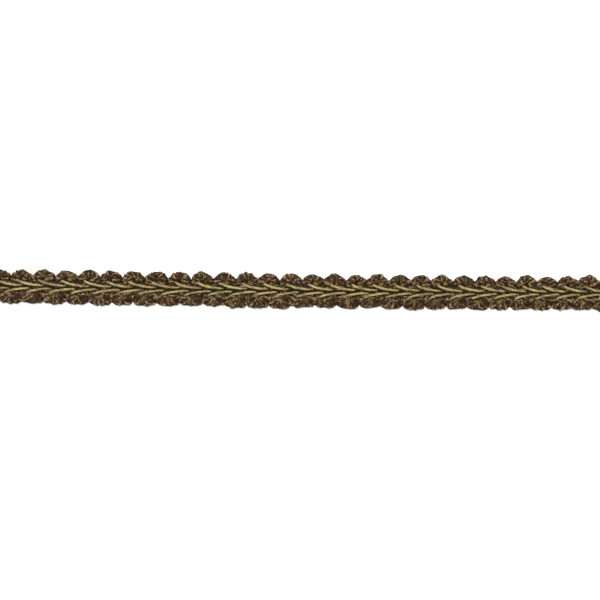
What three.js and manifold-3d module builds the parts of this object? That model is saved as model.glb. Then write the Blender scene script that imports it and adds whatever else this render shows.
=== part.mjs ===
// Gimp braid trim: a 13 mm wide furnishing braid, lying flat, face up.
// One thick wound cord meanders from edge to edge, packed so close that its legs touch, and its
// turns are the scallops of both edges. Two thinner satin cords are stitched over the middle, and
// their slanting stitches make a row of arrows that points along +X.
// Units are millimetres, +Z is up, the back is at z = 0.

import * as THREE from 'three';
import { mergeVertices } from 'three/addons/utils/BufferGeometryUtils.js';
import Module from 'manifold-3d';

const wasm = await Module();
wasm.setup();

// The length is cut straight across at both ends. The scallops run on past both cuts.
const CUT = 118;
const SCALLOPS = 30;
const FIRST_VALLEY = -126.87;

// How the braid is pulled along its run: scallop pitch, and how far the lower edge lags the upper
const RUN = [
  { along: -110, pitch: 8.4, lag: 4.2 },
  { along: -55, pitch: 8.6, lag: 4.2 },
  { along: -10, pitch: 8.45, lag: 4.4 },
  { along: 12, pitch: 8.25, lag: 5.2 },
  { along: 55, pitch: 8.0, lag: 5.6 },
  { along: 110, pitch: 8.0, lag: 5.6 },
];
const BOW_PER_MM = 3.8e-5;
const UNEVEN_PITCH = 0.3;
const UNEVEN_REACH = 0.4;

// The wound cord: its height in the scallop and under the stitches, the sections round a turn, and
// the wraps raised on every second one
const SCALLOP_HEIGHT = 2.4;
const PRESSED_HEIGHT = 1.3;
const TURN_STEPS = 10;
const WRAP_RISE = 0.1;
const WRAP_BULGE = 0.04;

// How far facets may be moved to save needless ones
const FLATNESS = 0.02;

// Each edge: where the cord turns, and the pinhole that the turn leaves there, the depth to which
// the scallops touch, reach of the crown, start of the press, squareness of the shoulders (2 is an
// ellipse), and how broadly a scallop runs into its neighbours
const UPPER = {
  sign: 1,
  eye: 3.3,
  pinhole: 0.42,
  valley: 4.4,
  reach: 6.6,
  pressed: 2.2,
  square: 1.7,
  merge: 0.36,
};
const LOWER = {
  sign: -1,
  eye: 2.95,
  pinhole: 0.25,
  valley: 5.5,
  reach: 6.7,
  pressed: 1.9,
  square: 2.7,
  merge: 0.8,
};

// The stitched cords: a stitch from its outer start to its tucked end, in pitches and millimetres
const UPPER_STITCH = {
  radius: 0.43,
  path: [
    { pitches: 0.31, out: 2.56, swell: 0.5 },
    { pitches: 0.45, out: 1.95, swell: 1.0 },
    { pitches: 0.65, out: 1.47, swell: 1.0 },
    { pitches: 0.9, out: 1.04, swell: 1.0 },
    { pitches: 1.2, out: 0.72, swell: 1.0 },
    { pitches: 1.5, out: 0.7, swell: 0.9 },
    { pitches: 1.72, out: 1.0, swell: 0.55 },
  ],
};
const LOWER_STITCH = {
  radius: 0.38,
  path: [
    { pitches: 0.2, out: 2.3, swell: 0.5 },
    { pitches: 0.34, out: 1.65, swell: 1.0 },
    { pitches: 0.55, out: 1.2, swell: 1.0 },
    { pitches: 0.8, out: 0.9, swell: 1.0 },
    { pitches: 1.08, out: 0.64, swell: 1.0 },
    { pitches: 1.36, out: 0.62, swell: 0.9 },
    { pitches: 1.58, out: 0.84, swell: 0.55 },
  ],
};
const CLEARANCE = 0.3;

// The sections of both cords, as shares of the width and the height: the wound cord's rounded top,
// from seam to seam, and the whole outline of a stitch
const WOUND_TOP = [
  { width: 0, height: 0.42 },
  { width: 0.2, height: 0.88 },
  { width: 0.5, height: 1 },
  { width: 0.8, height: 0.88 },
  { width: 1, height: 0.42 },
];
const STITCH_OUTLINE = [
  { width: 0.25, height: 0 },
  { width: 0, height: 0.5 },
  { width: 0.25, height: 1 },
  { width: 0.75, height: 1 },
  { width: 1, height: 0.5 },
  { width: 0.75, height: 0 },
];

const { lerp, clamp } = THREE.MathUtils;

// Repeatable unevenness, from -1 to 1. With this seed the scallops fall close to the real trim's.
let seed = 16088239;
function uneven() {
  seed = (seed * 16807) % 2147483647;
  return (seed / 2147483647) * 2 - 1;
}

// A column of the RUN table at a place along the trim
function runAt(along, column) {
  const next = RUN.findIndex((row) => row.along > along);
  if (next === 0) return RUN[0][column];
  if (next === -1) return RUN[RUN.length - 1][column];
  const before = RUN[next - 1];
  const share = (along - before.along) / (RUN[next].along - before.along);
  return lerp(before[column], RUN[next][column], share);
}

// The whole braid bends a little sideways over its length
const bow = (along) => BOW_PER_MM * along * along;

// The valleys between the scallops of the upper edge, then of the lower edge
function upperValleys() {
  const valleys = [FIRST_VALLEY];
  for (let i = 0; i < SCALLOPS; i++) {
    const last = valleys[i];
    valleys.push(last + runAt(last, 'pitch') + UNEVEN_PITCH * uneven());
  }
  return valleys;
}

function lowerValleys(upper) {
  return upper.map((valley) => valley + runAt(valley, 'lag'));
}

// The seams where neighbouring legs meet. By turns, a seam runs from a pinhole of the upper edge
// to a valley of the lower edge, and from a valley of the upper edge to a pinhole of the lower.
function legSeams(upper, lower) {
  const seams = [];
  for (let i = 0; i < SCALLOPS; i++) {
    seams.push({ top: (upper[i] + upper[i + 1]) / 2, bottom: lower[i] });
    seams.push({ top: upper[i + 1], bottom: (lower[i] + lower[i + 1]) / 2 });
  }
  return seams;
}

function seamAt(seam, y) {
  return { x: lerp(seam.top, seam.bottom, clamp((UPPER.eye - y) / (UPPER.eye + LOWER.eye), 0, 1)), y };
}

// Height of the wound cord's back to its top, at a distance from the middle of the braid
function cordHeight(out, edge) {
  const share = clamp((out - edge.pressed) / (edge.eye - edge.pressed), 0, 1);
  return lerp(PRESSED_HEIGHT, SCALLOP_HEIGHT, share);
}

// A section across a leg between two seams
function legSection(from, to, y) {
  const high = cordHeight(Math.abs(y), y > 0 ? UPPER : LOWER);
  return { from: seamAt(from, y), to: seamAt(to, y), low: 0, high };
}

// Where two neighbouring legs have closed the pinhole's drop shape
const closedAt = (edge) => edge.sign * (edge.eye - 2 * edge.pinhole);

// A pressed leg, from the lower edge's scallop to the upper edge's
function leg(west, east) {
  const levels = [closedAt(LOWER), -LOWER.pressed, UPPER.pressed, closedAt(UPPER)];
  return levels.map((y) => legSection(west, east, y));
}

// A scallop's turn, clockwise. Its sections fan out from the pinhole to the outline, which starts
// and ends where the neighbours touch it.
function turn(seams, edge) {
  const [start, middle, end] = edge === UPPER ? seams : [...seams].reverse();
  const eye = seamAt(middle, edge.sign * edge.eye);
  const first = seamAt(start, edge.sign * edge.valley);
  const last = seamAt(end, edge.sign * edge.valley);
  const half = Math.abs(last.x - first.x) / 2;
  const rise = edge.reach - edge.eye + UNEVEN_REACH * uneven();
  const valleyAngle = Math.atan2(edge.valley - edge.eye, half);
  const spot = (angle, distance) => ({
    x: eye.x + edge.sign * distance * Math.cos(angle),
    y: eye.y + edge.sign * distance * Math.sin(angle),
  });
  const sections = [];
  for (let i = 0; i <= TURN_STEPS; i++) {
    const angle = lerp(Math.PI - valleyAngle, valleyAngle, i / TURN_STEPS);
    const wrap = i % 2;
    const high = SCALLOP_HEIGHT * (1 + WRAP_RISE * wrap);
    const across = Math.abs(Math.cos(angle) / (half + edge.merge)) ** edge.square;
    const up = (Math.sin(angle) / rise) ** edge.square;
    const distance = (across + up) ** (-1 / edge.square) * (1 + WRAP_BULGE * wrap);
    const outline = spot(angle, distance);
    const from = { 0: first, [TURN_STEPS]: last }[i] ?? outline;
    sections.push({ from, to: spot(angle, edge.pinhole), low: 0, high });
  }
  const beside = (seam, angle) => ({
    from: seamAt(seam, eye.y),
    to: spot(angle, edge.pinhole),
    low: 0,
    high: SCALLOP_HEIGHT,
  });
  const closed = (seam) => legSection(seam, middle, closedAt(edge));
  return [closed(start), beside(start, Math.PI), ...sections, beside(end, 0), closed(end)];
}

// Corners of one section, as it lies in the bowed braid
function sectionCorners({ from, to, low, high }, outline) {
  return outline.map(({ width, height }) => {
    const x = lerp(from.x, to.x, width);
    return new THREE.Vector3(x, lerp(from.y, to.y, width) + bow(x), lerp(low, high, height));
  });
}

// The wound cord: one sheet over all turns and legs, whose seams are shared, brought down to z = 0
function woundCord(seams) {
  const runs = [];
  for (let i = 0; i + 1 < seams.length; i++) {
    runs.push(leg(seams[i], seams[i + 1]));
  }
  for (let i = 0; i + 2 < seams.length; i++) {
    runs.push(turn(seams.slice(i, i + 3), i % 2 === 0 ? LOWER : UPPER));
  }
  const corners = [];
  for (const run of runs) {
    const rows = run.map((section) => sectionCorners(section, WOUND_TOP));
    for (let r = 0; r + 1 < rows.length; r++) {
      for (let k = 0; k + 1 < WOUND_TOP.length; k++) {
        const [a, b, c, d] = [rows[r][k], rows[r][k + 1], rows[r + 1][k + 1], rows[r + 1][k]];
        corners.push(a, b, c, a, c, d);
      }
    }
  }
  const sheet = mergeVertices(new THREE.BufferGeometry().setFromPoints(corners));
  return broughtDown(sheet);
}

// The solid between a sheet and z = 0: the sheet, its shadow, and a wall along its rim
function broughtDown(sheet) {
  const top = sheet.attributes.position;
  const faces = [...sheet.index.array];
  const rim = new Map();
  for (let i = 0; i < faces.length; i += 3) {
    for (let k = 0; k < 3; k++) {
      const [a, b] = [faces[i + k], faces[i + ((k + 1) % 3)]];
      if (!rim.delete(`${b} ${a}`)) rim.set(`${a} ${b}`, [a, b]);
    }
  }
  const shadow = [];
  for (let i = 0; i < faces.length; i += 3) {
    shadow.push(faces[i] + top.count, faces[i + 2] + top.count, faces[i + 1] + top.count);
  }
  for (const [a, b] of rim.values()) {
    shadow.push(a, b + top.count, b, a, a + top.count, b + top.count);
  }
  const floor = Array.from(top.array, (value, i) => (i % 3 === 2 ? 0 : value));
  return solid([...top.array, ...floor], [...faces, ...shadow]);
}

function solid(corners, faces) {
  return new wasm.Manifold(
    new wasm.Mesh({
      numProp: 3,
      vertProperties: new Float32Array(corners),
      triVerts: new Uint32Array(faces),
    }),
  );
}

// One stitch, lying on the pressed cord, its tapered start on the scallop's inner slope
function stitch(start, pitch, edge, shape) {
  const spots = shape.path.map(({ pitches, out, swell }) => {
    const radius = shape.radius * swell;
    const height = cordHeight(out, edge) + CLEARANCE + radius;
    return { x: start + pitches * pitch, y: edge.sign * out, radius, height };
  });
  const corners = spots.flatMap(({ x, y, radius, height }, i) => {
    const before = spots[Math.max(i - 1, 0)];
    const after = spots[Math.min(i + 1, spots.length - 1)];
    const side = new THREE.Vector2(before.y - after.y, after.x - before.x).setLength(radius);
    const from = { x: x + side.x, y: y + side.y };
    const to = { x: x - side.x, y: y - side.y };
    return sectionCorners({ from, to, low: height - radius, high: height + radius }, STITCH_OUTLINE);
  });
  return rod(corners, STITCH_OUTLINE.length);
}

// A closed rod through rings of corners
function rod(corners, size) {
  const faces = [];
  const end = corners.length - size;
  for (let i = 0; i < end; i++) {
    const next = (i + 1) % size === 0 ? i + 1 - size : i + 1;
    faces.push(i, next, i + size, next, next + size, i + size);
  }
  for (let i = 1; i + 1 < size; i++) {
    faces.push(0, i + 1, i, end, end + i, end + i + 1);
  }
  return solid(corners.flatMap((corner) => corner.toArray()), faces);
}

// One stitched cord: each stitch's end is tucked against the next stitch. The last scallop needs
// none, as the stitch before reaches past the cut.
function stitchedCord(valleys, edge, shape) {
  const stitches = [];
  for (let i = 0; i + 1 < SCALLOPS; i++) {
    stitches.push(stitch(valleys[i], valleys[i + 1] - valleys[i], edge, shape));
  }
  return wasm.Manifold.union(stitches);
}

// A named piece of the trim, between its two cut ends
function piece(name, cord, color, roughness) {
  const cut = cord.trimByPlane([1, 0, 0], -CUT).trimByPlane([-1, 0, 0], -CUT);
  const mesh = cut.asOriginal().simplify(FLATNESS).getMesh();
  const geometry = new THREE.BufferGeometry();
  geometry.setAttribute('position', new THREE.BufferAttribute(mesh.vertProperties, 3));
  geometry.setIndex(new THREE.BufferAttribute(mesh.triVerts, 1));
  const yarn = new THREE.MeshStandardMaterial({ color, roughness, metalness: 0, flatShading: true });
  const part = new THREE.Mesh(geometry, yarn);
  part.name = name;
  return part;
}

const upper = upperValleys();
const lower = lowerValleys(upper);
const brown = 0x564632;
const gold = 0x9c8c5f;

const trim = new THREE.Group();
trim.add(piece('gimp_cord', woundCord(legSeams(upper, lower)), brown, 0.92));
trim.add(piece('chevron_cord_upper', stitchedCord(upper, UPPER, UPPER_STITCH), gold, 0.6));
trim.add(piece('chevron_cord_lower', stitchedCord(lower, LOWER, LOWER_STITCH), gold, 0.6));

// The origin is under the middle of the trim
const middle = new THREE.Box3().setFromObject(trim).getCenter(new THREE.Vector3());
trim.position.set(-middle.x, -middle.y, 0);

export default trim;
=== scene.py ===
"""Gimp braid trim, lying flat and seen from straight above.

A brown cord, wound with marled yarn, meanders from edge to edge of the braid, and two old gold
cords of three plies are stitched over its middle as a row of arrows. Sizes are in millimetres
until a mesh is made, where MM turns them into the frame's metres.
"""
import math

import bpy
import numpy as np
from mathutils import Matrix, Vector


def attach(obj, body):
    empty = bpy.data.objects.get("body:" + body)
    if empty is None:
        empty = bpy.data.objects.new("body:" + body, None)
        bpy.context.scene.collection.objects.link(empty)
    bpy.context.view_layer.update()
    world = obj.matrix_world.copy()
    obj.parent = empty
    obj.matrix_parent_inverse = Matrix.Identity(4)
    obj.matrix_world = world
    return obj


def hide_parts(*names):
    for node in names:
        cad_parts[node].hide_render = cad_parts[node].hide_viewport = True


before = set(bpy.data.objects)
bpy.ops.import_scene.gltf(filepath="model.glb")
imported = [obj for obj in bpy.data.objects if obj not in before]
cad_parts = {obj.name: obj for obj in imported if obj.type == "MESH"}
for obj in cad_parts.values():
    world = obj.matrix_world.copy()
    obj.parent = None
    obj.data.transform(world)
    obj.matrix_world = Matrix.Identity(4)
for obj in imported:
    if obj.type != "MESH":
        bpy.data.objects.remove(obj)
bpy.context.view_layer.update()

MM = 0.001
TURN = 2 * math.pi

# The braid's run, as in the solids: its cut ends, its scallops, how it is pulled along the way and
# bowed sideways, and how unevenly the scallops fall. RUN_SEED makes them fall as in the solids.
CUT = 118
SCALLOPS = 30
FIRST_VALLEY = -126.87
RUN = {
    "along": [-110, -55, -10, 12, 55, 110],
    "pitch": [8.4, 8.6, 8.45, 8.25, 8.0, 8.0],
    "lag": [4.2, 4.2, 4.4, 5.2, 5.6, 5.6],
}
BOW_PER_MM = 3.8e-5
BOX_MIDDLE = 0.184
UNEVEN_PITCH = 0.3
UNEVEN_REACH = 0.4
RUN_SEED = 16088239
SEED_FACTOR = 16807
SEED_RANGE = 2147483647

# The wound cord with its yarn: its heights, how far its legs press into each other, how far its
# scallops may, the spacing of its sections, and the steps of a leg and of a turn
SCALLOP_HEIGHT = 2.55
PRESSED_HEIGHT = 1.55
LEG_OVERLAP = 0.14
SCALLOP_OVERLAP = 0.1
ROUTE_STEP = 0.1
LEG_STEPS = 40
TURN_STEPS = 60

# Each edge: where the cord turns, the pinhole that it leaves there, reach of the crown, start of
# the press, squareness of the shoulders (2 is an ellipse), how broadly a scallop runs into its
# neighbours, and the spots at every scallop where the yarn is lighter, partly from its pale ply and
# partly as painted highlight, or darker as painted shade in the grooves between scallops
UPPER = {
    "sign": 1,
    "eye": 3.3,
    "pinhole": 0.42,
    "reach": 6.6,
    "pressed": 2.2,
    "square": 1.7,
    "merge": 0.36,
    "spots": [
        # place from the valley in pitches, distance from the middle, radius, change of tone
        (0.09, 2.8, 0.5, 2.2),
        (0.62, 2.8, 0.5, 1.3),
        (0.48, 3.25, 0.45, -2.6),
        (-0.05, 2.9, 0.6, -0.9),
    ],
}
LOWER = {
    "sign": -1,
    "eye": 2.95,
    "pinhole": 0.25,
    "reach": 6.7,
    "pressed": 1.9,
    "square": 2.7,
    "merge": 0.8,
    "spots": [
        # place from the valley in pitches, distance from the middle, radius, change of tone
        (0.0, 2.85, 0.5, 2.0),
        (0.46, 3.3, 0.65, 1.4),
        (-0.18, 3.9, 0.9, -1.9),
    ],
}

# Its section: the waist as a share of the height, and the powers that round it above the waist,
# below it and sideways. An ellipse has a power of 1, and a smaller one is fuller.
WAIST = 0.42
POWER_ABOVE = 0.9
POWER_BELOW = 0.6
POWER_SIDEWAYS = 0.8

# The yarn that is wound round it: the space from turn to turn, how much of it the yarn fills, its
# thinnest and thickest radius, its own twist and how deep that is, and the detail of its mesh
WRAP_PITCH = 0.26
YARN_FILL = 0.56
YARN_THINNEST = 0.1
YARN_THICKEST = 0.31
YARN_TWIST = 1.0
YARN_TWIST_DEPTH = 0.12
YARN_SIDES = 5
WRAP_STEPS = 20
WRAP_PIECES = 4

# The wraps bunch up in ridges of several turns, with small ridges of two on them. A ridge also
# stands out as a rounded lobe at the braid's edges, measured from the lobes' mean, and nubs make
# the yarn rise and swell.
RIDGE = 0.3
RIDGE_BUNCH = 0.06
WRAPS_A_RIDGE = 6.0
SMALL_RIDGE = 0.07
WRAPS_A_SMALL_RIDGE = 1.9
EDGE_LOBE = 0.5
MEAN_LOBE = 0.64
NUB_RISE = 0.06
NUB_SWELL = 0.2

# What wanders from wrap to wrap: by how much, and over how many turns of the yarn. The amounts are
# millimetres, but radians for where the ridges lie, and shares for nubs, swell and lobes.
UNEVEN_WRAPS = {
    "small_stray": (0.05, 0.35),
    "stray": (0.08, 1.6),
    "small_rise": (0.02, 0.3),
    "rise": (0.04, 1.8),
    "ridge": (2.0, 8.0),
    "small_ridge": (3.0, 4.0),
    "slant": (1.4, 7.0),
    "bend": (0.4, 4.0),
    "nubs": (1.0, 0.12),
    "swell": (0.12, 1.4),
    "lobe": (0.6, 9.0),
    "edge": (0.1, 7.0),
}

# The yarn's tone is above 0 where it is lighter. It wanders by an amount over some millimetres, and
# painted light and shade are added to it: lighter on raised wraps and darker on low ones, painted shade
# in the groove between the stitched cords, and painted shade low on the cord's sides.
TONE_PATCHES = (0.4, 5.0)
TONE_FLECKS = (0.7, 0.7)
RIDGE_PAINTED_LIGHT_AND_SHADE = 0.6
MIDDLE_PAINTED_SHADE = -1.0
MIDDLE_SHADE_HALF_WIDTH = 0.8
LOW_PAINTED_SHADE = -0.9
LOW_HEIGHT = 1.7

# The core under the yarn, painted dark as shade in the deep gaps between the wraps: how far below
# the yarn's outside it lies, how high off the table, its painted shade, its sides, and how many steps of
# the route one of its sections takes
CORE_DEPTH = 0.32
CORE_RISE = 0.06
CORE_PAINTED_SHADE = -0.8
CORE_SIDES = 12
CORE_STEP = 6

# The stitched cords: plies, their share of the cord's radius, and the length of one turn of the
# lay. The lay and the plies' tone wander by an amount over some millimetres, and painted shade darkens
# the plies on their undersides. A route's rows stand STITCH_STEP apart, with CURVE_STEPS from one row
# of a path to the next, and its outermost stitches end where they dip below CUT_BELOW.
PLIES = 3
PLY_SHARE = 0.54
PLY_SIDES = 7
CORD_LAY = 4.2
UNEVEN_LAY = (0.5, 6.0)
PLY_TONE = (0.6, 2.5)
UNDERSIDE_PAINTED_SHADE = -1.6
UNDERSIDE_START = 0.3
STITCH_STEP = 0.25
CURVE_STEPS = 16
CUT_BELOW = 1.7
UPPER_CORD = {
    "edge": UPPER,
    "radius": 0.48,
    "path": [
        # place from the valley in pitches, distance from the middle, height, share of the radius
        (0.2, 2.97, 0.95, 0.6),
        (0.26, 2.76, 1.4, 0.65),
        (0.33, 2.44, 1.85, 0.85),
        (0.43, 1.98, 2.02, 1.0),
        (0.65, 1.35, 2.02, 1.08),
        (0.9, 0.92, 1.98, 1.05),
        (1.18, 0.62, 1.92, 0.9),
        (1.33, 0.55, 1.7, 0.7),
        (1.43, 0.55, 1.3, 0.6),
        (1.46, 0.8, 0.95, 0.6),
        (1.4, 1.7, 0.75, 0.6),
        (1.27, 2.5, 0.6, 0.6),
        (1.18, 2.95, 0.65, 0.6),
    ],
}
LOWER_CORD = {
    "edge": LOWER,
    "radius": 0.45,
    "path": [
        # place from the valley in pitches, distance from the middle, height, share of the radius
        (0.16, 2.6, 0.95, 0.6),
        (0.21, 2.43, 1.4, 0.65),
        (0.27, 2.18, 1.8, 0.75),
        (0.35, 1.86, 1.98, 0.95),
        (0.52, 1.44, 2.0, 1.05),
        (0.8, 1.02, 1.98, 1.05),
        (1.08, 0.68, 1.93, 0.95),
        (1.24, 0.6, 1.73, 0.75),
        (1.34, 0.6, 1.35, 0.65),
        (1.38, 0.85, 1.0, 0.6),
        (1.31, 1.5, 0.75, 0.6),
        (1.15, 2.3, 0.6, 0.6),
        (1.06, 2.65, 0.65, 0.6),
    ],
}

# The brown yarn's look: its colours as the eye reads them, how many blotches and crinkles lie on a
# millimetre, and how much the pale ply, the blotches and the tone bring out its flecks. The pale
# ply is twisted unevenly, by up to UNTWIST radians. The relief is that of the grooves between the
# plies and of the crinkles, as shares, and its depth in millimetres.
BROWN_DARK = (36, 25, 15)
BROWN_LIGHT = (81, 61, 40)
BROWN_RANGE = (0.3, 0.7)
BROWN_TONE = 0.15
BLOTCHES_A_MM = 1.0
CRINKLES_A_MM = 3.0
FLECK = (160, 138, 100)
FLECK_PLY = 0.45
FLECK_BLOTCH = 5.5
FLECK_TONE = 1.1
FLECK_RANGE = (3.15, 4.15)
FLECK_CRINKLES = (0.38, 0.6)
UNTWIST = 14.0
UNTWISTS_A_MM = 0.45
GROOVE_RELIEF = 0.6
CRINKLE_RELIEF = 0.8
YARN_RELIEF = 0.12

# The gold cords' look: their colours, how much the filaments, the blotches and the tone share in
# them, and the filaments' number, length, twist and relief
GOLD_DARK = (82, 71, 24)
GOLD_LIGHT = (158, 143, 84)
GOLD_RANGE = (0.3, 0.7)
GOLD_FILAMENT = 0.7
GOLD_BLOTCH = 0.3
GOLD_TONE = 0.25
GOLD_BLOTCHES_A_MM = 0.7
FILAMENTS = 5.5
FILAMENT_STRETCH = 0.35
FILAMENT_TWIST = 9.0
FILAMENT_RELIEF = 0.05

# The table and the studio's light, in metres, with the lamps' width and power
TABLE_HALF_WIDTH = 3.0
TABLE_DARK = (235, 235, 234)
TABLE_LIGHT = (238, 238, 238)
TABLE_GRAINS_A_MM = 0.3
ROOM_BRIGHTNESS = 0.36
KEY_LAMP = {"place": (-0.2, 0.4, 1.0), "width": 0.3, "power": 13}
OVERHEAD_LAMP = {"place": (0.1, -0.1, 1.1), "width": 0.9, "power": 10}

# The photograph: pixels across the frame, the trim's place in it, and the width of the view
PHOTO_PIXELS = 600
VIEW_WIDTH = 228.0
TRIM_ROW_AT_MIDDLE = 290.9
TRIM_ROWS_DROPPED = 7.2
LENS = 100.0
SENSOR = 36.0

YARN_SEED = 5
rng = np.random.default_rng(YARN_SEED)


def run_unevenness():
    """The same repeatable unevenness as in the solids, from -1 to 1."""
    seed = RUN_SEED
    while True:
        seed = seed * SEED_FACTOR % SEED_RANGE
        yield seed / SEED_RANGE * 2 - 1


uneven = run_unevenness()


def upper_valleys():
    """Places of the upper edge's valleys along the trim."""
    valleys = [FIRST_VALLEY]
    for _ in range(SCALLOPS):
        pitch = np.interp(valleys[-1], RUN["along"], RUN["pitch"])
        valleys.append(valleys[-1] + pitch + UNEVEN_PITCH * next(uneven))
    return np.array(valleys)


def leg_seams(upper, lower):
    """Upper and lower end of every seam between two legs, and whether its pinhole is above."""
    seams = []
    for i in range(SCALLOPS):
        seams.append(((upper[i] + upper[i + 1]) / 2, lower[i], True))
        seams.append((upper[i + 1], (lower[i] + lower[i + 1]) / 2, False))
    return seams


def seam_at(seam, y):
    """Place along the trim of a seam at a distance from the middle."""
    share = np.clip((UPPER["eye"] - y) / (UPPER["eye"] + LOWER["eye"]), 0, 1)
    return seam[0] + (seam[1] - seam[0]) * share


def closing(y, edge):
    """How open a pinhole's drop shape still is at a place on a leg, in millimetres."""
    share = np.clip((edge["sign"] * y - edge["eye"]) / (2 * edge["pinhole"]) + 1, 0, 1)
    return share * edge["pinhole"]


def leg_sections(west, east, downward):
    """Rows of a pressed leg: left end, right end, height, and the core's inset at both ends."""
    y = np.linspace(-LOWER["eye"], UPPER["eye"], LEG_STEPS + 1)
    ends, insets = [], []
    for seam, inward in ((west, 1), (east, -1)):
        edge = UPPER if seam[2] else LOWER
        overlap = LEG_OVERLAP * (1 - closing(y, edge) / edge["pinhole"])
        ends.append(np.column_stack([seam_at(seam, y) + inward * (closing(y, edge) - overlap), y]))
        insets.append(-closing(y, edge))
    freed = np.where(y > 0, (y - UPPER["pressed"]) / (UPPER["eye"] - UPPER["pressed"]),
                     (-y - LOWER["pressed"]) / (LOWER["eye"] - LOWER["pressed"]))
    height = PRESSED_HEIGHT + (SCALLOP_HEIGHT - PRESSED_HEIGHT) * eased(np.clip(freed, 0, 1))
    rows = np.column_stack(ends + [height] + insets)
    return swap_ends(rows)[::-1] if downward else rows


def turn_sections(seams, edge):
    """Rows round one scallop's pinhole, fanned out from it to the scallop's outline."""
    sign = edge["sign"]
    west, middle, east = (seam_at(seam, sign * edge["eye"]) for seam in seams)
    touch = (east - west) / 2 + SCALLOP_OVERLAP
    half = (east - west) / 2 + edge["merge"]
    rise = edge["reach"] - edge["eye"] + UNEVEN_REACH * next(uneven)
    angle = np.linspace(math.pi, 0, TURN_STEPS + 1)
    cos, sin = np.cos(angle), np.sin(angle)
    square = edge["square"]
    reach = ((np.abs(cos) / half) ** square + (np.abs(sin) / rise) ** square) ** (-1 / square)
    outer_x = middle + np.clip(reach * cos, -touch, touch)
    outer = np.column_stack([outer_x, sign * (edge["eye"] + reach * sin)])
    inner_y = edge["eye"] + edge["pinhole"] * sin
    inner = np.column_stack([middle + edge["pinhole"] * cos, sign * inner_y])
    height = np.full(len(angle), SCALLOP_HEIGHT)
    outer_inset = CORE_DEPTH * np.clip((touch - reach * np.abs(cos)) / CORE_DEPTH, 0, 1)
    inner_inset = np.full(len(angle), -edge["pinhole"])
    rows = np.column_stack([outer, inner, height, outer_inset, inner_inset])
    return rows if sign > 0 else swap_ends(rows)


def swap_ends(rows):
    """The same sections with their left and right ends swapped."""
    return rows[:, [2, 3, 0, 1, 4, 6, 5]]


def meander(seams):
    """All sections of the wound cord, evenly spaced by the length of its middle line."""
    parts = []
    for i in range(len(seams) - 1):
        parts.append(leg_sections(seams[i], seams[i + 1], i % 2 == 0)[:-1])
        if i + 2 < len(seams):
            parts.append(turn_sections(seams[i:i + 3], LOWER if i % 2 == 0 else UPPER)[:-1])
    rows = np.vstack(parts)
    middle = (rows[:, 0:2] + rows[:, 2:4]) / 2
    return resample(np.column_stack([middle, rows]), ROUTE_STEP)[:, 2:]


def smooth_curve(points, step):
    """A Catmull-Rom curve through rows of numbers, sampled every step of its length."""
    padded = np.vstack([2 * points[0] - points[1], points, 2 * points[-1] - points[-2]])
    share = np.linspace(0, 1, CURVE_STEPS + 1)[:-1, None]
    parts = []
    for a, b, c, d in zip(padded, padded[1:], padded[2:], padded[3:]):
        parts.append(0.5 * (2 * b + (c - a) * share + (2 * a - 5 * b + 4 * c - d) * share ** 2
                            + (3 * b - a - 3 * c + d) * share ** 3))
    return resample(np.vstack(parts + [points[-1:]]), step)


def resample(rows, step):
    """Rows spaced evenly by the length of their first two columns."""
    length = arc_length(rows[:, :2])
    even = np.linspace(0, length[-1], int(round(length[-1] / step)) + 1)
    return np.column_stack([np.interp(even, length, column) for column in rows.T])


def arc_length(points):
    """Length of the path so far at each of its points."""
    steps = np.linalg.norm(np.diff(points, axis=0), axis=1)
    return np.concatenate([[0], np.cumsum(steps)])


def eased(share):
    """A share from 0 to 1, with a slow start and a slow end."""
    return share * share * (3 - 2 * share)


def wander(places, amount, spacing):
    """Numbers that wander smoothly between about -amount and amount over rising places."""
    knots = rng.uniform(-1, 1, int(places[-1] / spacing) + 3)
    left = (places / spacing).astype(int)
    share = eased(places / spacing - left)
    return amount * (knots[left] * (1 - share) + knots[left + 1] * share)


def unit(vectors):
    """Vectors of length 1 in the same directions."""
    return vectors / np.linalg.norm(vectors, axis=-1, keepdims=True)


def to_frame(points):
    """Millimetres along the straight trim to the frame's metres, with the braid's bow."""
    moved = np.array(points, dtype=float)
    moved[..., 1] += BOW_PER_MM * moved[..., 0] ** 2 - BOX_MIDDLE
    return moved * MM


def tube_faces(rings, sides):
    """Faces of a closed tube of rings that turn anticlockwise as seen from its end."""
    ring = np.arange(rings - 1)[:, None] * sides
    side = np.arange(sides)[None]
    after = (side + 1) % sides
    quads = np.stack([ring + side, ring + after, ring + sides + after, ring + sides + side], axis=-1)
    last = (rings - 1) * sides
    return quads.reshape(-1, 4), [list(range(sides))[::-1], list(range(last, last + sides))]


def tube(centres, outward, radii):
    """Corners and faces of a closed tube. radii holds one number for each ring and side."""
    ahead = unit(np.gradient(centres, axis=0))
    outward = unit(outward - ahead * np.sum(outward * ahead, axis=1, keepdims=True))
    aside = np.cross(ahead, outward)
    rings, sides = radii.shape
    angles = np.arange(sides) * TURN / sides
    spokes = (outward[:, None] * np.cos(angles)[None, :, None]
              + aside[:, None] * np.sin(angles)[None, :, None])
    corners = centres[:, None] + spokes * radii[..., None]
    quads, caps = tube_faces(rings, sides)
    return corners.reshape(-1, 3), quads, caps


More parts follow.
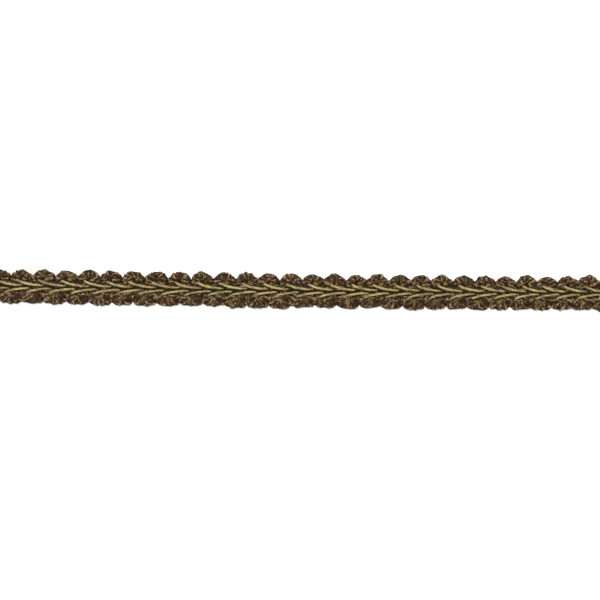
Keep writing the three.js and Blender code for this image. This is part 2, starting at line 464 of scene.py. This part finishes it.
def make_piece(name, tubes, nodes, material):
    """One object from tubes: each is corners, quads, caps, yarn coordinates and tones."""
    corners, faces, yarn, tone = [], [], [], []
    first = 0
    for spots, quads, caps, coordinates, tones in tubes:
        corners.append(spots)
        faces += (quads + first).tolist()
        faces += [[i + first for i in cap] for cap in caps]
        yarn.append(coordinates)
        tone.append(tones)
        first += len(spots)
    placed = to_frame(np.vstack(corners))
    placed[:, 2] = np.maximum(placed[:, 2], 0)
    mesh = bpy.data.meshes.new(name)
    mesh.from_pydata(placed.tolist(), [], faces)
    mesh.shade_smooth()
    mesh.attributes.new("yarn", "FLOAT_VECTOR", "POINT").data.foreach_set(
        "vector", np.vstack(yarn).astype(np.float32).ravel())
    mesh.attributes.new("tone", "FLOAT", "POINT").data.foreach_set(
        "value", np.concatenate(tone).astype(np.float32))
    mesh.materials.append(material)
    piece = bpy.data.objects.new(name, mesh)
    bpy.context.scene.collection.objects.link(piece)
    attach(piece, "root")
    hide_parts(*nodes)


def yarn_coordinates(along, sides):
    """Direction round the thread as a cosine and a sine, and place along it, for each corner."""
    angles = np.arange(sides) * TURN / sides
    rings = len(along)
    return np.column_stack([np.tile(np.cos(angles), rings), np.tile(np.sin(angles), rings),
                            np.repeat(along, sides)])


def stretches(inside):
    """Start and end of every unbroken stretch inside that has three places or more."""
    edges = np.diff(np.concatenate([[0], inside.astype(int), [0]]))
    starts, ends = np.flatnonzero(edges == 1), np.flatnonzero(edges == -1)
    return [(start, end) for start, end in zip(starts, ends) if end - start >= 3]


def share_sideways(turned):
    """Share of the half width at which a thread lies that has turned so far round the section."""
    cos = np.cos(turned)
    return np.sign(cos) * np.abs(cos) ** POWER_SIDEWAYS


def height_on_section(turned, height, thin):
    """Height of that thread's middle on the rounded, flat-backed section."""
    sin = np.sin(turned)
    waist = WAIST * height
    above = waist + (height - thin - waist) * np.abs(sin) ** POWER_ABOVE
    below = waist - (waist - thin) * np.abs(sin) ** POWER_BELOW
    return np.where(sin > 0, above, below)


def read_off(columns, at):
    """Columns of numbers, a ROUTE_STEP from row to row, read off at places along the cord."""
    length = np.arange(len(columns[0])) * ROUTE_STEP
    return [np.interp(at, length, column) for column in columns]


def end_speed(ends):
    """How far one end of the section moves for each millimetre of the cord."""
    return np.linalg.norm(np.gradient(ends, ROUTE_STEP, axis=0), axis=1)


def wrap_unevenness(wound):
    """How far the yarn strays along the cord, rises, stands out at the edges, and swells."""
    def vary(name):
        return wander(wound, *UNEVEN_WRAPS[name])

    stray = vary("small_stray") + vary("stray")
    rise = vary("small_rise") + vary("rise")
    ridge = TURN * wound / WRAPS_A_RIDGE + vary("ridge")
    small_ridge = TURN * wound / WRAPS_A_SMALL_RIDGE + vary("small_ridge")
    rise += RIDGE * np.sin(ridge) + SMALL_RIDGE * np.sin(small_ridge)
    stray += RIDGE_BUNCH * np.cos(ridge) + vary("slant") * np.cos(TURN * wound)
    stray += vary("bend") * np.cos(2 * TURN * wound)
    nubs = vary("nubs")
    rise += NUB_RISE * nubs
    swell = 1 + vary("swell") + NUB_SWELL * nubs
    lobe = EDGE_LOBE * (np.abs(np.sin(ridge / 2 + TURN / 8)) - MEAN_LOBE)
    stand_out = lobe * (1 + vary("lobe")) + vary("edge")
    return stray, rise, stand_out, swell


def wound_yarn(route, edges):
    """The yarn wound round the cord: its wraps follow the section, and fan out at every scallop."""
    length = (len(route) - 1) * ROUTE_STEP
    turns = int(length / WRAP_PITCH)
    wound = np.arange(turns * WRAP_STEPS + 1) / WRAP_STEPS
    turned = wound * TURN
    stray, rise, stand_out, swell = wrap_unevenness(wound)
    at = np.clip(wound * WRAP_PITCH + stray, 0, length)
    left = np.column_stack(read_off(route.T[0:2], at))
    right = np.column_stack(read_off(route.T[2:4], at))
    speeds = [end_speed(route[:, 0:2]), end_speed(route[:, 2:4])]
    height, left_speed, right_speed = read_off([route[:, 4]] + speeds, at)
    across = (left - right) / 2
    half_width = np.linalg.norm(across, axis=1)
    across /= half_width[:, None]
    share = share_sideways(turned)
    spread = (left_speed * (1 + share) + right_speed * (1 - share)) / 2
    thick = np.clip(YARN_FILL * WRAP_PITCH * spread, YARN_THINNEST, YARN_THICKEST) * swell
    sideways = share * (half_width + stand_out * np.abs(share) - thick)
    up = height_on_section(turned, height + rise, thick)
    centres = np.column_stack([(left + right) / 2 + sideways[:, None] * across, up])
    out = np.column_stack([across * np.cos(turned)[:, None], np.sin(turned)])
    along = arc_length(centres)
    angles = np.arange(YARN_SIDES) * TURN / YARN_SIDES
    plies = np.cos(2 * (angles[None] + TURN * along[:, None] / YARN_TWIST))
    radii = thick[:, None] * (1 + YARN_TWIST_DEPTH * plies)
    tone = wander(along, *TONE_PATCHES) + wander(along, *TONE_FLECKS)
    # painted light and shade: raised wraps lighter and low wraps darker, plus the painted shade and
    # spots by place
    tone += RIDGE_PAINTED_LIGHT_AND_SHADE * rise / RIDGE + tone_at(centres, edges)
    return yarn_pieces(centres, out, radii, along, tone)


def yarn_pieces(centres, out, radii, along, tone):
    """The yarn as tubes between the cut ends, in WRAP_PIECES lists with as many turns each."""
    pieces = []
    turns = (len(centres) - 1) // WRAP_STEPS
    bounds = np.linspace(0, turns, WRAP_PIECES + 1).astype(int) * WRAP_STEPS
    for first, last in zip(bounds, bounds[1:]):
        tubes = []
        for start, end in stretches(np.abs(centres[first:last + 1, 0]) < CUT):
            some = slice(first + start, first + end)
            corners, quads, caps = tube(centres[some], out[some], radii[some])
            tubes.append((corners, quads, caps, yarn_coordinates(along[some], YARN_SIDES),
                          np.repeat(tone[some], YARN_SIDES)))
        pieces.append(tubes)
    return pieces


def tone_at(centres, edges):
    """Tone of the yarn by its place: painted shade in the middle and low on the sides, and the spots'
    pale ply with painted highlight and painted shade.
    """
    x, y, height = centres.T
    # painted shade in the groove between the stitched cords
    tone = MIDDLE_PAINTED_SHADE * np.exp(-(y / MIDDLE_SHADE_HALF_WIDTH) ** 4)
    # painted shade on the low sides of the cord, which turn away from the light
    tone += LOW_PAINTED_SHADE * np.clip(LOW_HEIGHT - height, 0, 1)
    for edge, valleys in edges:
        for valley, pitch in zip(valleys, np.diff(valleys)):
            for share, out, radius, change in edge["spots"]:
                # spots of painted highlight with the pale ply, and of painted shade in the grooves
                # between scallops
                away = np.hypot(x - valley - share * pitch, y - edge["sign"] * out)
                tone += change * np.exp(-(away / radius) ** 2)
    return tone


def core(route):
    """The core between the wraps, painted dark as shade, as tubes along the meander between the cut
    ends.
    """
    rows = route[::CORE_STEP]
    left, right = rows[:, None, 0:2], rows[:, None, 2:4]
    height, left_inset, right_inset = rows[:, 4:5], rows[:, 5:6], rows[:, 6:7]
    turned = np.arange(CORE_SIDES) * TURN / CORE_SIDES
    half_width = np.linalg.norm(left - right, axis=2) / 2
    share = share_sideways(turned[None])
    share = share * (1 - np.where(share > 0, left_inset, right_inset) / half_width)
    spots = (left + right) / 2 + share[..., None] * (left - right) / 2
    up = height_on_section(turned[None], height - CORE_DEPTH, YARN_THINNEST) + CORE_RISE
    corners = np.concatenate([spots, up[..., None]], axis=2)
    inside = np.min(np.abs(spots[:, :, 0]), axis=1) < CUT
    corners[..., 0] = np.clip(corners[..., 0], -CUT, CUT)
    along = np.arange(len(rows)) * CORE_STEP * ROUTE_STEP
    tubes = []
    for start, end in stretches(inside):
        rings = corners[start:end]
        quads, caps = tube_faces(len(rings), CORE_SIDES)
        tubes.append((rings.reshape(-1, 3), quads, caps,
                      yarn_coordinates(along[start:end], CORE_SIDES),
                      # painted shade on the core, which shows only deep between the wraps
                      np.full(len(rings) * CORE_SIDES, CORE_PAINTED_SHADE)))
    return tubes


def stitched_route(valleys, cord):
    """The route of one stitched cord: every stitch and its hidden return, between the cut ends."""
    points = []
    for start, pitch in zip(valleys, np.diff(valleys)):
        for share, out, height, swell in cord["path"]:
            points.append((start + share * pitch, cord["edge"]["sign"] * out, height, swell))
    route = smooth_curve(np.array(points), STITCH_STEP)
    kept = np.flatnonzero((np.abs(route[:, 0]) < CUT) & (route[:, 2] > CUT_BELOW))
    return route[kept[0]:kept[-1] + 1]


def stitched_cord(valleys, cord):
    """The plies of one stitched cord, laid round its route."""
    rows = stitched_route(valleys, cord)
    route, radius = rows[:, :3], cord["radius"] * rows[:, 3:]
    ahead = unit(np.gradient(route, axis=0))
    up = unit(np.array([0.0, 0.0, 1.0]) - ahead * ahead[:, 2:])
    aside = np.cross(ahead, up)
    along = arc_length(route)
    lay = TURN * along / CORD_LAY + wander(along, *UNEVEN_LAY)
    radii = np.repeat(radius * PLY_SHARE, PLY_SIDES, axis=1)
    tubes = []
    for ply in range(PLIES):
        turned = (lay + TURN * ply / PLIES)[:, None]
        out = up * np.cos(turned) + aside * np.sin(turned)
        corners, quads, caps = tube(route + out * radius * (1 - PLY_SHARE), out, radii)
        depth = (np.repeat(route[:, 2], PLY_SIDES) - corners[:, 2]) / cord["radius"]
        tone = np.repeat(wander(along, *PLY_TONE), PLY_SIDES)
        # painted shade on the plies' undersides
        tone += UNDERSIDE_PAINTED_SHADE * np.clip(depth + UNDERSIDE_START, 0, 1)
        tubes.append((corners, quads, caps, yarn_coordinates(along, PLY_SIDES), tone))
    return tubes


class Nodes:
    """A short way to write a material's node tree."""

    def __init__(self, name):
        self.material = bpy.data.materials.new(name)
        self.material.use_nodes = True
        self.tree = self.material.node_tree

    def add(self, kind, values=(), **settings):
        node = self.tree.nodes.new(kind)
        for key, value in settings.items():
            setattr(node, key, value)
        for place, value in enumerate(values):
            self.put(value, node.inputs[place])
        return node

    def put(self, value, socket):
        if isinstance(value, bpy.types.NodeSocket):
            self.tree.links.new(value, socket)
        else:
            socket.default_value = value

    def put_all(self, node, values):
        for name, value in values.items():
            self.put(value, node.inputs[name])

    def math(self, operation, *values):
        return self.add("ShaderNodeMath", values, operation=operation).outputs[0]

    def weighed(self, *pairs):
        """The sum of sockets, each times its weight."""
        total = 0.0
        for socket, weight in pairs:
            total = self.math("MULTIPLY_ADD", socket, weight, total)
        return total

    def smooth(self, value, limits):
        """0 below the first limit, 1 above the second, and a smooth step between them."""
        node = self.add("ShaderNodeMapRange", (value, *limits, 0.0, 1.0))
        node.interpolation_type = "SMOOTHSTEP"
        return node.outputs[0]

    def mix(self, share, first, second):
        node = self.add("ShaderNodeMix", data_type="RGBA")
        for value, place in ((share, 0), (first, 6), (second, 7)):
            self.put(value, node.inputs[place])
        return node.outputs[2]

    def noise(self, vector, scale, detail=2.0):
        node = self.add("ShaderNodeTexNoise")
        self.put_all(node, {"Vector": vector, "Scale": scale, "Detail": detail})
        return node.outputs["Fac"]

    def place(self):
        return self.add("ShaderNodeTexCoord").outputs["Object"]

    def bump(self, height, strength, depth):
        node = self.add("ShaderNodeBump")
        self.put_all(node, {"Height": height, "Strength": strength, "Distance": depth * MM})
        return node.outputs[0]

    def surface(self, values):
        """The finished material, with these values on its shader."""
        self.put_all(self.tree.nodes["Principled BSDF"], values)
        return self.material


def srgb(*color):
    """A colour as the eye reads it, 0 to 255, to the shader's linear one."""
    shares = [c / 255 for c in color]
    return tuple(c / 12.92 if c <= 0.04045 else ((c + 0.055) / 1.055) ** 2.4 for c in shares) + (1,)


def thread_place(nodes, twist):
    """Phase of the twist round a thread, place along it, and the tone that the mesh carries."""
    yarn = nodes.add("ShaderNodeAttribute", attribute_name="yarn")
    parts = nodes.add("ShaderNodeSeparateXYZ", (yarn.outputs["Vector"],))
    around = nodes.math("ARCTAN2", parts.outputs[1], parts.outputs[0])
    along = parts.outputs[2]
    phase = nodes.math("MULTIPLY_ADD", along, TURN / twist, around)
    tone = nodes.add("ShaderNodeAttribute", attribute_name="tone").outputs["Fac"]
    return phase, along, tone


def wound_material():
    """Brown marled yarn: one ply of old gold shows as flecks between darker plies."""
    nodes = Nodes("wound_yarn")
    phase, along, tone = thread_place(nodes, YARN_TWIST)
    place = nodes.place()
    blotch = nodes.noise(place, BLOTCHES_A_MM / MM)
    crinkle = nodes.noise(place, CRINKLES_A_MM / MM, detail=3.0)
    # the tone carries painted light and shade as well as random wander, and it lightens or darkens the
    # body and flecks
    shade = nodes.weighed((blotch, 1.0), (tone, BROWN_TONE))
    body = nodes.mix(nodes.smooth(shade, BROWN_RANGE), srgb(*BROWN_DARK), srgb(*BROWN_LIGHT))
    slow = nodes.add("ShaderNodeCombineXYZ", (nodes.math("MULTIPLY", along, UNTWISTS_A_MM), 0.0, 0.0))
    untwisted = nodes.noise(slow.outputs[0], 1.0)
    ply = nodes.math("SINE", nodes.weighed((phase, 1.0), (untwisted, UNTWIST)))
    pale = nodes.weighed((ply, FLECK_PLY), (blotch, FLECK_BLOTCH), (tone, FLECK_TONE))
    pale = nodes.math("MULTIPLY", nodes.smooth(pale, FLECK_RANGE), nodes.smooth(crinkle, FLECK_CRINKLES))
    groove = nodes.math("ABSOLUTE", nodes.math("SINE", phase))
    relief = nodes.weighed((groove, GROOVE_RELIEF), (crinkle, CRINKLE_RELIEF))
    return nodes.surface({
        "Base Color": nodes.mix(pale, body, srgb(*FLECK)),
        "Normal": nodes.bump(relief, strength=0.7, depth=YARN_RELIEF),
        "Roughness": 0.85,
        "Specular IOR Level": 0.08,
    })


def satin_material():
    """Old gold rayon: fine filaments along each ply, and a soft gloss."""
    nodes = Nodes("satin_cord")
    phase, along, tone = thread_place(nodes, FILAMENT_TWIST)
    streaks = nodes.add("ShaderNodeCombineXYZ",
                        (phase, nodes.math("MULTIPLY", along, FILAMENT_STRETCH), 0.0))
    filament = nodes.noise(streaks.outputs[0], FILAMENTS, detail=3.0)
    blotch = nodes.noise(nodes.place(), GOLD_BLOTCHES_A_MM / MM)
    # the tone carries painted shade on the plies' undersides as well as random wander
    shade = nodes.weighed((filament, GOLD_FILAMENT), (blotch, GOLD_BLOTCH), (tone, GOLD_TONE))
    return nodes.surface({
        "Base Color": nodes.mix(nodes.smooth(shade, GOLD_RANGE), srgb(*GOLD_DARK), srgb(*GOLD_LIGHT)),
        "Normal": nodes.bump(filament, strength=0.5, depth=FILAMENT_RELIEF),
        "Roughness": 0.5,
        "Specular IOR Level": 0.45,
        "Sheen Weight": 0.2,
    })


def table_material():
    """Plain white, with hardly any grain."""
    nodes = Nodes("floor")
    grain = nodes.noise(nodes.place(), TABLE_GRAINS_A_MM / MM)
    return nodes.surface({
        "Base Color": nodes.mix(grain, srgb(*TABLE_DARK), srgb(*TABLE_LIGHT)),
        "Roughness": 0.9,
        "Specular IOR Level": 0.1,
    })


def floor():
    """The table that the trim lies on."""
    half = TABLE_HALF_WIDTH
    mesh = bpy.data.meshes.new("floor")
    mesh.from_pydata([(-half, -half, 0), (half, -half, 0), (half, half, 0), (-half, half, 0)], [],
                     [(0, 1, 2, 3)])
    mesh.materials.append(table_material())
    table = bpy.data.objects.new("floor", mesh)
    bpy.context.scene.collection.objects.link(table)


def soft_lamp(name, lamp):
    """A square lamp that shines at the trim's middle."""
    light = bpy.data.lights.new(name, "AREA")
    light.size = lamp["width"]
    light.energy = lamp["power"]
    holder = bpy.data.objects.new(name, light)
    holder.location = lamp["place"]
    holder.rotation_euler = (-Vector(lamp["place"])).to_track_quat("-Z", "Y").to_euler()
    bpy.context.scene.collection.objects.link(holder)


def studio_light():
    """Soft studio light, stronger from the upper edge's side."""
    room = bpy.data.worlds.new("studio")
    room.use_nodes = True
    room.node_tree.nodes["Background"].inputs["Color"].default_value = (1, 1, 1, 1)
    room.node_tree.nodes["Background"].inputs["Strength"].default_value = ROOM_BRIGHTNESS
    bpy.context.scene.world = room
    soft_lamp("key", KEY_LAMP)
    soft_lamp("overhead", OVERHEAD_LAMP)
    bpy.context.scene.view_settings.view_transform = "Standard"


def camera():
    """Straight above, with the trim's row and slope in the frame as photographed."""
    pixel = VIEW_WIDTH / PHOTO_PIXELS
    lens = bpy.data.cameras.new("camera")
    lens.lens = LENS
    lens.sensor_width = SENSOR
    eye = bpy.data.objects.new("camera", lens)
    distance = VIEW_WIDTH / 2 / math.tan(math.atan(SENSOR / 2 / LENS))
    below = (PHOTO_PIXELS / 2 - TRIM_ROW_AT_MIDDLE) * pixel
    eye.location = (0, (-BOX_MIDDLE - below) * MM, (distance + SCALLOP_HEIGHT / 2) * MM)
    eye.rotation_euler = (0, 0, math.atan(TRIM_ROWS_DROPPED / PHOTO_PIXELS))
    bpy.context.scene.collection.objects.link(eye)
    bpy.context.scene.camera = eye


def braid():
    """The wound cord's core and yarn, and both stitched cords."""
    upper = upper_valleys()
    lower = upper + np.interp(upper, RUN["along"], RUN["lag"])
    route = meander(leg_seams(upper, lower))
    brown, gold = wound_material(), satin_material()
    make_piece("gimp_core", core(route), ["gimp_cord"], brown)
    for i, wraps in enumerate(wound_yarn(route, [(UPPER, upper), (LOWER, lower)])):
        make_piece(f"gimp_wraps_{i + 1}", wraps, ["gimp_cord"], brown)
    make_piece("satin_cord_upper", stitched_cord(upper, UPPER_CORD),
               ["chevron_cord_upper"], gold)
    make_piece("satin_cord_lower", stitched_cord(lower, LOWER_CORD),
               ["chevron_cord_lower"], gold)


camera()
braid()
floor()
studio_light()
